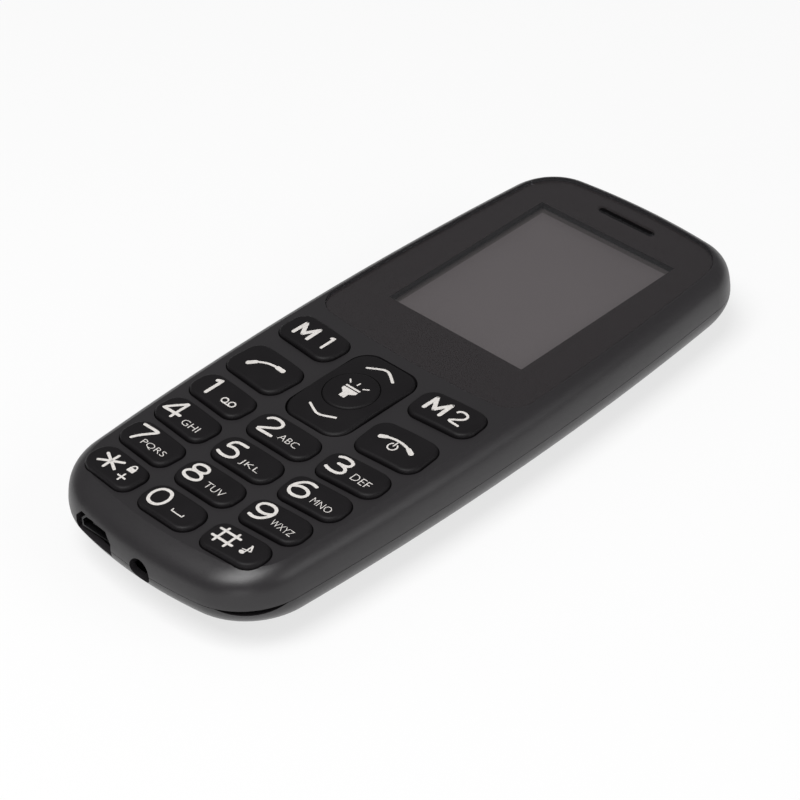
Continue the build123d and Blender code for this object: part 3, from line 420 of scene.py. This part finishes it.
class Growth(Wiring):
    # a geometry tree with named sizes, whose result is one plain mesh
    def __init__(self, name, sizes):
        super().__init__(bpy.data.node_groups.new(name, "GeometryNodeTree"))
        self.tree.interface.new_socket("Geometry", in_out="OUTPUT", socket_type="NodeSocketGeometry")
        self.tree.interface.new_socket("Geometry", in_out="INPUT", socket_type="NodeSocketGeometry")
        for title, value in sizes.items():
            socket = self.tree.interface.new_socket(title, in_out="INPUT", socket_type="NodeSocketFloat")
            socket.default_value = value
        self.given = self.tree.nodes.new("NodeGroupInput")
        self.result = self.tree.nodes.new("NodeGroupOutput")

    def size(self, title):
        return Signal(self, self.given.outputs[title])

    def close(self, shape, material):
        whole = self.add("GeometryNodeRealizeInstances", values={0: shape})
        painted = self.add("GeometryNodeSetMaterial", values={"Geometry": whole, "Material": material})
        self.tree.links.new(painted.socket, self.result.inputs[0])

    def grow(self, name, flat, sizes):
        # runs the tree on a flat mesh and gives back a plain one
        carrier = bpy.data.objects.new(name + "Carrier", flat)
        bpy.context.scene.collection.objects.link(carrier)
        modifier = carrier.modifiers.new("grow", "NODES")
        modifier.node_group = self.tree
        sockets = self.tree.interface.items_tree
        known = {item.name: item.identifier for item in sockets if item.in_out == "INPUT"}
        for title, value in sizes.items():
            modifier[known[title]] = value
        mesh = bpy.data.meshes.new_from_object(carrier.evaluated_get(bpy.context.evaluated_depsgraph_get()))
        carrier.modifiers.remove(modifier)
        bpy.data.objects.remove(carrier)
        mesh.name = name
        return mesh


def makePrintTree():
    # lays flat outlines on a ball-shaped crown and gives them a thickness
    growth = Growth("crownPrint", {"Crown Radius": 0.07, "Crown Top": 0.01, "Middle X": 0.0, "Middle Y": 0.0,
                                   "Thickness": 0.00003, "Sink": 0.00001})
    flat = growth.size("Geometry")
    split = growth.add("ShaderNodeSeparateXYZ", values={0: growth.add("GeometryNodeInputPosition")})
    x, y = split.out("X"), split.out("Y")
    outX, outY = x - growth.size("Middle X"), y - growth.size("Middle Y")
    radius = growth.size("Crown Radius")
    drop = radius - (radius * radius - outX * outX - outY * outY) ** 0.5
    level = growth.size("Crown Top") - drop - growth.size("Sink")
    place = growth.add("ShaderNodeCombineXYZ", values={"X": x, "Y": y, "Z": level})
    laid = growth.add("GeometryNodeSetPosition", values={"Geometry": flat, "Position": place})
    upward = growth.add("ShaderNodeCombineXYZ", values={"Z": 1.0})
    raised = growth.add("GeometryNodeExtrudeMesh", {"mode": "FACES"},
                        {"Mesh": laid, "Offset": upward, "Offset Scale": growth.size("Thickness"),
                         "Individual": False})
    under = growth.add("GeometryNodeFlipFaces", values={"Mesh": laid})
    joined = growth.add("GeometryNodeJoinGeometry", values={0: [raised, under]})
    merged = growth.add("GeometryNodeMergeByDistance", values={"Geometry": joined, "Distance": 1e-7})
    growth.close(merged, looks["legend"])
    return growth


def arc(middle, radius, start, end, squash=1.0):
    # points on an arc, in degrees
    count = max(3, int(abs(end - start) / printLook["arcStepDeg"]))
    points = []
    for i in range(count + 1):
        turn = math.radians(start + (end - start) * i / count)
        points.append((middle[0] + radius * math.cos(turn), middle[1] + radius * squash * math.sin(turn)))
    return points


def closer(points, step):
    # the same line with no stretch longer than a step
    made = [points[0]]
    for start, end in zip(points, points[1:]):
        count = max(1, math.ceil(math.dist(start, end) / step))
        for i in range(1, count + 1):
            made.append((start[0] + (end[0] - start[0]) * i / count,
                         start[1] + (end[1] - start[1]) * i / count))
    return made


def smoothLine(points, rounds=2):
    # cuts the corners off, a quarter of the way along each run
    for _ in range(rounds):
        made = [points[0]]
        for a, b in zip(points, points[1:]):
            made.append((a[0] * 0.75 + b[0] * 0.25, a[1] * 0.75 + b[1] * 0.25))
            made.append((a[0] * 0.25 + b[0] * 0.75, a[1] * 0.25 + b[1] * 0.75))
        points = made + [points[-1]]
    return points


def strokeShapes(points, widths, roundEnds=True):
    # quads and end fans along a line; one width, or a width for each end
    points = closer(points, printLook["stepMm"])
    if not isinstance(widths, tuple):
        widths = (widths, widths)
    left, right = [], []
    total = len(points) - 1
    for i, point in enumerate(points):
        a, b = points[max(i - 1, 0)], points[min(i + 1, total)]
        along = Vector((b[0] - a[0], b[1] - a[1])).normalized()
        half = (widths[0] + (widths[1] - widths[0]) * i / total) / 2
        left.append((point[0] - along.y * half, point[1] + along.x * half))
        right.append((point[0] + along.y * half, point[1] - along.x * half))
    shapes = [[right[i], right[i + 1], left[i + 1], left[i]] for i in range(total)]
    if roundEnds:
        for point, side, width in ((points[0], left[0], widths[0]), (points[-1], right[-1], widths[1])):
            start = math.degrees(math.atan2(side[1] - point[1], side[0] - point[0]))
            shapes.append(arc(point, width / 2, start, start + 180))
    return shapes


def flatMesh(name, groups):
    # all the shapes of one key as flat faces, one sheet for each line or letter
    bm = bmesh.new()
    for shapes in groups:
        made = []
        for shape in shapes:
            corners = [bm.verts.new((x * mm, y * mm, 0)) for x, y in shape]
            bm.faces.new(corners)
            made += corners
        bmesh.ops.remove_doubles(bm, verts=made, dist=1e-7)
    mesh = bpy.data.meshes.new(name)
    bm.to_mesh(mesh)
    bm.free()
    return mesh


def word(words, left, right, low, high):
    # a word in Blender's own font, fitted to the box that it fills on its key
    curve = bpy.data.curves.new("wordCurve", "FONT")
    curve.body = words
    curve.size = 1.0
    curve.resolution_u = 3
    curve.offset = -printLook["letterThinning"]
    carrier = bpy.data.objects.new("wordCarrier", curve)
    bpy.context.scene.collection.objects.link(carrier)
    flat = bpy.data.meshes.new_from_object(carrier.evaluated_get(bpy.context.evaluated_depsgraph_get()))
    bpy.data.objects.remove(carrier)
    bm = bmesh.new()
    bm.from_mesh(flat)
    bpy.data.meshes.remove(flat)
    bmesh.ops.remove_doubles(bm, verts=bm.verts, dist=1e-6)
    bmesh.ops.triangulate(bm, faces=bm.faces[:])
    xs = [v.co.x for v in bm.verts]
    ys = [v.co.y for v in bm.verts]
    size = (high - low) / (max(ys) - min(ys))
    width = (max(xs) - min(xs)) * size
    pull = (right - left) / width
    for _ in range(3):
        # long edges are halved, so that the letters follow the crown
        long = [edge for edge in bm.edges if edge.calc_length() * size > 2 * printLook["stepMm"]]
        bmesh.ops.subdivide_edges(bm, edges=long, cuts=1)
        bmesh.ops.triangulate(bm, faces=bm.faces[:])
    shapes = []
    for face in bm.faces:
        points = [(left + (v.co.x - min(xs)) * size * pull, low + (v.co.y - min(ys)) * size)
                  for v in face.verts]
        if face.normal.z < 0:
            points.reverse()
        shapes.append(points)
    bm.free()
    return shapes


def fitted(points, box):
    # points drawn in a box of one by one, set into left, right, low, high
    left, right, low, high = box
    return [(left + x * (right - left), low + y * (high - low)) for x, y in points]


# the middle line of each digit, in a box of one by one
digits = {
    "1": [[(0.1, 0.88), (0.55, 0.94), (0.72, 1.0), (0.72, 0.0)]],
    "2": [[(0.04, 0.80), (0.12, 0.92), (0.30, 1.0), (0.58, 1.0), (0.82, 0.92), (0.93, 0.76), (0.88, 0.58),
           (0.66, 0.40), (0.32, 0.20), (0.05, 0.0), (1.0, 0.0)]],
    "3": [[(0.06, 0.90), (0.28, 1.0), (0.62, 1.0), (0.88, 0.90), (0.92, 0.72), (0.80, 0.58), (0.52, 0.53),
           (0.36, 0.53)],
          [(0.52, 0.53), (0.84, 0.46), (0.98, 0.29), (0.92, 0.12), (0.68, 0.0), (0.30, 0.0), (0.03, 0.09)]],
    "4": [[(1.0, 0.25), (0.02, 0.25), (0.70, 1.0), (0.74, 1.0), (0.74, 0.0)]],
    "5": [[(0.90, 1.0), (0.20, 1.0), (0.10, 0.53), (0.34, 0.61), (0.62, 0.60), (0.88, 0.48), (0.97, 0.30),
           (0.90, 0.12), (0.66, 0.0), (0.30, 0.0), (0.04, 0.09)]],
    "6": [[(0.88, 0.95), (0.62, 1.0), (0.36, 0.92), (0.14, 0.68), (0.05, 0.38), (0.12, 0.14), (0.34, 0.0),
           (0.62, 0.0), (0.88, 0.10), (0.98, 0.30), (0.90, 0.50), (0.64, 0.60), (0.36, 0.58), (0.12, 0.44),
           (0.06, 0.34)]],
    "7": [[(0.03, 1.0), (1.0, 1.0), (0.92, 0.88), (0.64, 0.56), (0.40, 0.24), (0.27, 0.0)]],
    "8": [[(0.5, 0.53), (0.22, 0.58), (0.10, 0.74), (0.18, 0.92), (0.38, 1.0), (0.62, 1.0), (0.82, 0.92),
           (0.90, 0.74), (0.78, 0.58), (0.5, 0.53), (0.16, 0.46), (0.02, 0.28), (0.10, 0.10), (0.34, 0.0),
           (0.66, 0.0), (0.90, 0.10), (0.98, 0.28), (0.84, 0.46), (0.5, 0.53)]],
    "9": [[(0.12, 0.05), (0.38, 0.0), (0.64, 0.08), (0.86, 0.32), (0.95, 0.62), (0.88, 0.86), (0.66, 1.0),
           (0.38, 1.0), (0.12, 0.90), (0.02, 0.70), (0.10, 0.50), (0.36, 0.40), (0.64, 0.42), (0.88, 0.56),
           (0.94, 0.66)]],
    "0": [[(0.5, 0.0), (0.24, 0.05), (0.08, 0.26), (0.03, 0.5), (0.08, 0.74), (0.24, 0.95), (0.5, 1.0),
           (0.76, 0.95), (0.92, 0.74), (0.97, 0.5), (0.92, 0.26), (0.76, 0.05), (0.5, 0.0)]],
}
sharpDigits = ("4",)


def digit(name, left, right, low, high, width=strokeMm["digit"]):
    half = width / 2
    shapes = []
    for line in digits[name]:
        points = fitted(line, (left + half, right - half, low + half, high - half))
        if name not in sharpDigits:
            points = smoothLine(points, 2)
        shapes += strokeShapes(points, width)
    return shapes


def capitalM(left, right, low, high):
    width = strokeMm["memory"]
    half = width / 2
    line = fitted([(0.0, 0.0), (0.02, 1.0), (0.5, 0.16), (0.98, 1.0), (1.0, 0.0)],
                  (left + half, right - half, low + half, high - half))
    shapes = []
    for start, end in zip(line, line[1:]):
        shapes += strokeShapes([start, end], width)
    return shapes


def bars(lines, width, roundEnds=True):
    shapes = []
    for line in lines:
        shapes += strokeShapes(line, width, roundEnds)
    return shapes


def starSign(middle, upright, slanted, tilt):
    # one upright stroke and two slanted ones, each given by its half length
    lines = []
    for turn, reach in ((90, upright), (tilt, slanted), (-tilt, slanted)):
        dx, dy = math.cos(math.radians(turn)) * reach, math.sin(math.radians(turn)) * reach
        lines.append([(middle[0] - dx, middle[1] - dy), (middle[0] + dx, middle[1] + dy)])
    return bars(lines, strokeMm["star"])


hashShape = {"insetMm": 0.25, "barShares": (0.28, 0.76)}


def hashSign(left, right, low, high):
    width, height, inset = right - left, high - low, hashShape["insetMm"]
    lines = []
    for share in hashShape["barShares"]:
        lines.append([(left + width * share, low + inset), (left + width * share, high - inset)])
        lines.append([(left + inset, low + height * share), (right - inset, low + height * share)])
    return bars(lines, strokeMm["hash"])


def tapeSign(left, right, low, high, inset=0.15):
    # two small rings on a line
    half = strokeMm["tapeRing"] / 2
    radius = (high - low) / 2 - half
    middles = [(left + radius + inset, low + radius + half), (right - radius - inset, low + radius + half)]
    shapes = []
    for middle in middles:
        shapes += strokeShapes(arc(middle, radius, 0, 360), strokeMm["tapeRing"], False)
    return shapes + strokeShapes([(x, low + half) for x, _ in middles], strokeMm["tapeLine"])


lockShape = {"bodyShare": 0.58, "shackleInsetMm": 0.22, "shackleStretch": 1.3}


def lockSign(left, right, low, high):
    body = low + (high - low) * lockShape["bodyShare"]
    shapes = [[(left, low), (right, low), (right, body), (left, body)]]
    middle = ((left + right) / 2, body)
    reach = (right - left) / 2 - lockShape["shackleInsetMm"]
    shackle = arc(middle, reach, 0, 180, lockShape["shackleStretch"])
    return shapes + strokeShapes(shackle, strokeMm["shackle"], False)


def plusSign(middle, reach):
    x, y = middle
    return bars([[(x - reach, y), (x + reach, y)], [(x, y - reach), (x, y + reach)]], strokeMm["plus"], False)


def spaceSign(left, right, low, high, inset=0.1):
    foot = low + inset
    return bars([[(left, high), (left, foot), (right, foot), (right, high)]], strokeMm["space"], False)


# the head and the stem's foot from the lower left corner, the flag's points from the stem's top
noteShape = {"headMm": (0.5, 0.42), "headRadiusMm": 0.48, "headSquash": 0.75, "stemMm": (0.85, 0.4),
             "flagMm": ((0, 0), (0.55, -0.75), (0.5, -1.15)), "barInsetMm": 0.1, "barDropMm": (1.3, 0.95)}


def noteSign(left, right, low, high):
    x, y = noteShape["headMm"]
    shapes = [arc((left + x, low + y), noteShape["headRadiusMm"], 0, 360, noteShape["headSquash"])]
    stem, foot = left + noteShape["stemMm"][0], low + noteShape["stemMm"][1]
    shapes += strokeShapes([(stem, foot), (stem, high)], strokeMm["stem"])
    shapes += strokeShapes([(stem + x, high + y) for x, y in noteShape["flagMm"]], strokeMm["flag"])
    barStart, barEnd = noteShape["barDropMm"]
    bar = [(left + noteShape["barInsetMm"], high - barStart), (right, high - barEnd)]
    return shapes + strokeShapes(bar, strokeMm["noteBar"])


def handsetSign(points, endWidth, taper=0.9):
    # a bowed handle whose first and last quarters are thicker
    line = smoothLine(points, 3)
    shapes = strokeShapes(line, strokeMm["handle"])
    quarter = max(2, len(line) // 4)
    shapes += strokeShapes(line[:quarter], (endWidth, endWidth * taper))
    return shapes + strokeShapes(line[-quarter:], (endWidth * taper, endWidth))


powerShape = {"ringFromDeg": 125, "ringToDeg": 415, "footMm": 0.2, "overRingMm": 0.35}


def powerSign(middle, radius):
    # an open ring and a short upright through its gap
    x, y = middle
    ring = arc(middle, radius, powerShape["ringFromDeg"], powerShape["ringToDeg"])
    upright = [(x, y + powerShape["footMm"]), (x, y + radius + powerShape["overRingMm"])]
    return bars([ring, upright], strokeMm["power"])


chevronShape = {"tipMm": 0.35, "bendMm": 1.1, "bendShare": 0.24}


def chevronSign(left, right, foot, tip, width):
    # two straight arms that meet in a small round
    middle = (left + right) / 2
    level = tip + (foot - tip) * chevronShape["bendShare"]
    point, bend = chevronShape["tipMm"], chevronShape["bendMm"]
    line = [(left, foot), (middle - bend, level), (middle - point, tip), (middle + point, tip),
            (middle + bend, level), (right, foot)]
    return strokeShapes(smoothLine(line, 2), width)


def patch(corners, parts=4):
    # a four-cornered area as small quads, so that it follows the crown
    def at(across, upward):
        foot, head = ([a + (b - a) * across for a, b in zip(start, end)]
                      for start, end in ((corners[0], corners[1]), (corners[3], corners[2])))
        return tuple(a + (b - a) * upward for a, b in zip(foot, head))
    steps = [(i / parts, (i + 1) / parts) for i in range(parts)]
    return [[at(left, low), at(right, low), at(right, high), at(left, high)]
            for left, right in steps for low, high in steps]


# each ray has its foot and its tip, from the middle, the left end and the right end of the rim
torchShape = {"rimMm": 0.36, "gapMm": 0.24, "neckShare": 0.2, "gripShare": 0.34, "shoulderShare": 0.58,
              "raysMm": (((0, 0.76), (0, 1.35)), ((0.1, 0.64), (-0.5, 1.2)), ((-0.1, 0.64), (0.6, 1.15)))}


def torchSign(left, right, low, high):
    # a hand torch seen from the side, with three rays over it
    width, height = right - left, high - low
    x = (left + right) / 2
    rim = high - torchShape["rimMm"]
    head = rim - torchShape["gapMm"]
    neck = width * torchShape["neckShare"]
    grip = low + height * torchShape["gripShare"]
    shoulder = low + height * torchShape["shoulderShare"]
    shapes = [[(left, rim), (right, rim), (right, high), (left, high)],
              [(x - neck, low), (x + neck, low), (x + neck, grip), (x - neck, grip)],
              [(x - neck, grip), (x + neck, grip), (right, shoulder), (left, shoulder)],
              [(left, shoulder), (right, shoulder), (right, head), (left, head)]]
    rays = [[(start + across, high + over) for across, over in ray]
            for start, ray in zip((x, left, right), torchShape["raysMm"])]
    return [cell for shape in shapes for cell in patch(shape)] + bars(rays, strokeMm["ray"])


# every sign in mm, in the phone's frame
signs = {
    "key_1": [digit("1", -17.85, -15.9, -27.6, -23.35, 0.66), tapeSign(-13.5, -10.5, -27.45, -26.1)],
    "key_2": [digit("2", -5.05, -0.8, -28.35, -24.25), word("ABC", 0.0, 3.8, -27.8, -26.5)],
    "key_3": [digit("3", 9.75, 13.8, -27.9, -23.8), word("DEF", 15.0, 18.5, -27.2, -25.75)],
    "key_4": [digit("4", -19.15, -14.8, -35.2, -30.95), word("GHI", -13.75, -10.3, -35.15, -33.85)],
    "key_5": [digit("5", -5.1, -0.95, -36.15, -32.0), word("JKL", -0.05, 3.85, -35.85, -34.5)],
    "key_6": [digit("6", 9.2, 13.65, -35.55, -31.35), word("MNO", 14.5, 18.35, -34.85, -33.55)],
    "key_7": [digit("7", -17.95, -13.95, -42.55, -38.55), word("PQRS", -14.7, -9.65, -42.55, -41.2)],
    "key_8": [digit("8", -5.15, -0.9, -43.25, -39.15), word("TUV", 0.1, 3.9, -42.85, -41.55)],
    "key_9": [digit("9", 9.0, 13.3, -42.85, -38.7), word("WXYZ", 13.7, 18.0, -42.15, -40.9)],
    "key_star": [starSign((-14.55, -48.1), 1.55, 2.1, 28),
                 lockSign(-11.3, -9.95, -47.95, -46.35), plusSign((-10.6, -49.48), 0.88)],
    "key_0": [digit("0", -4.85, -0.75, -50.75, -46.55), spaceSign(0.85, 3.1, -49.75, -49.15)],
    "key_hash": [hashSign(8.95, 13.6, -50.15, -46.45), noteSign(14.85, 16.4, -49.4, -47.15)],
    "key_memory_1": [capitalM(-18.25, -14.4, -7.9, -4.35), digit("1", -12.28, -11.05, -7.9, -4.3, 0.5)],
    "key_memory_2": [capitalM(10.7, 14.7, -7.9, -4.35), digit("2", 15.68, 18.4, -7.8, -4.45, 0.42)],
    "key_call": [handsetSign([(-17.2, -17.85), (-16.4, -16.95), (-15.2, -16.25), (-14.0, -15.9),
                              (-12.8, -15.8), (-11.55, -15.85)], 0.92)],
    "key_end": [handsetSign([(11.25, -17.0), (12.5, -16.4), (14.4, -16.1), (16.4, -16.4),
                             (17.7, -17.0)], 0.86),
                powerSign((14.48, -17.7), 0.78)],
    "key_nav": [chevronSign(-2.55, 3.05, -6.35, -4.85, strokeMm["upChevron"]),
                chevronSign(-2.85, 2.8, -18.25, -19.3, strokeMm["downChevron"])],
    "key_torch": [torchSign(-1.5, 1.5, -14.4, -11.65)],
}
printTree = makePrintTree()
for key, groups in signs.items():
    low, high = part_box(key)
    # the summit of the rocker is cut out for the torch key, so its top is read from another key
    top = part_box("key_5" if key == "key_nav" else key)[1][2]
    sink = printLook["torchSinkMm" if key == "key_torch" else "sinkMm"]
    sizes = {"Crown Radius": printLook["crownRadiusMm"] * mm, "Crown Top": top,
             "Middle X": (low[0] + high[0]) / 2, "Middle Y": (low[1] + high[1]) / 2,
             "Thickness": printLook["thicknessMm"] * mm, "Sink": sink * mm}
    mesh = printTree.grow("print_" + key, flatMesh("flat_" + key, groups), sizes)
    piece = bpy.data.objects.new("print_" + key, mesh)
    bpy.context.scene.collection.objects.link(piece)
    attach(piece, key + "_body")
print("prints on", len(signs), "keys")


# stage, lights and camera

stageLook = {"floorSize": 3.0, "floorColour": (0.9, 0.9, 0.9), "glow": 0.72, "glossGlow": 0.95,
             "worldLight": 0.22}


def makeFloor():
    recipe = Recipe("paleFloor", roughness=0.8, base_color=(*stageLook["floorColour"], 1.0))
    path = recipe.add("ShaderNodeLightPath")
    seen = path.out("Is Camera Ray") + path.out("Is Transmission Ray")
    glow = recipe.add("ShaderNodeEmission", values={"Strength": 1.0})
    lit = Signal(recipe, recipe.shader.outputs[0])
    share = seen.math("MINIMUM", 1.0) * stageLook["glow"] + path.out("Is Glossy Ray") * stageLook["glossGlow"]
    mix = recipe.add("ShaderNodeMixShader", values={0: share.math("MINIMUM", 1.0), 1: lit, 2: glow})
    recipe.tree.links.new(mix.socket, recipe.out.inputs["Surface"])
    bm = bmesh.new()
    bmesh.ops.create_grid(bm, x_segments=8, y_segments=8, size=stageLook["floorSize"] / 2)
    mesh = bpy.data.meshes.new("floor")
    bm.to_mesh(mesh)
    bm.free()
    mesh.materials.append(recipe.material)
    floor = bpy.data.objects.new("floor", mesh)
    bpy.context.scene.collection.objects.link(floor)
    floor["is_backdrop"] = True


def makeWorld():
    world = bpy.data.worlds.new("studio")
    bpy.context.scene.world = world
    world.use_nodes = True
    world.node_tree.nodes.clear()
    wiring = Wiring(world.node_tree)
    white = (1, 1, 1, 1)
    plain = wiring.add("ShaderNodeBackground", values={"Color": white, "Strength": stageLook["worldLight"]})
    seen = wiring.add("ShaderNodeBackground", values={"Color": white, "Strength": 1.0})
    path = wiring.add("ShaderNodeLightPath")
    shown = (path.out("Is Camera Ray") + path.out("Is Transmission Ray")).math("MINIMUM", 1.0)
    mix = wiring.add("ShaderNodeMixShader", values={0: shown, 1: plain, 2: seen})
    out = world.node_tree.nodes.new("ShaderNodeOutputWorld")
    world.node_tree.links.new(mix.socket, out.inputs["Surface"])


def makeLamp(name, place, target, size, power):
    lamp = bpy.data.lights.new(name, "AREA")
    lamp.shape = "SQUARE"
    lamp.size = size
    lamp.energy = power
    carrier = bpy.data.objects.new(name, lamp)
    bpy.context.scene.collection.objects.link(carrier)
    carrier.location = place
    carrier.rotation_mode = "QUATERNION"
    carrier.rotation_quaternion = (Vector(target) - Vector(place)).to_track_quat("-Z", "Y")


lampLook = {
    "overheadLamp": {"place": (0.05, -0.3, 0.85), "target": (0, 0, 0), "size": 0.5, "power": 7.0},
    "sideLamp": {"place": (0.8, 0.25, 0.45), "target": (0, 0, 0), "size": 0.5, "power": 1.6},
    "lowLamp": {"place": (0.5, -0.75, 0.08), "target": (0, 0, 0.005), "size": 0.4, "power": 1.0},
}
cameraLook = {"azimuth": -47.257, "elevation": 37.743, "roll": -3.453, "focalPx": 2875.3,
              "place": (0.26134, -0.24374, 0.28229), "framePx": 800, "sensorMm": 36.0}


def makeCamera():
    turn, rise, roll = (math.radians(cameraLook[k]) for k in ("azimuth", "elevation", "roll"))
    forward = Vector((math.sin(turn) * math.cos(rise), math.cos(turn) * math.cos(rise), -math.sin(rise)))
    right = Vector((math.cos(turn), -math.sin(turn), 0))
    up = right.cross(forward)
    across = right * math.cos(roll) + up * math.sin(roll)
    upright = up * math.cos(roll) - right * math.sin(roll)
    data = bpy.data.cameras.new("camera")
    data.sensor_width = cameraLook["sensorMm"]
    data.lens = cameraLook["focalPx"] * cameraLook["sensorMm"] / cameraLook["framePx"]
    data.clip_start = 0.01
    camera = bpy.data.objects.new("camera", data)
    bpy.context.scene.collection.objects.link(camera)
    turned = Matrix((across, upright, -forward)).transposed().to_4x4()
    camera.matrix_world = Matrix.Translation(cameraLook["place"]) @ turned
    bpy.context.scene.camera = camera


makeFloor()
makeWorld()
for name, lamp in lampLook.items():
    makeLamp(name, **lamp)
makeCamera()
bpy.context.scene.view_settings.view_transform = "Standard"
print("stage, lamps and camera set")

low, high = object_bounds()
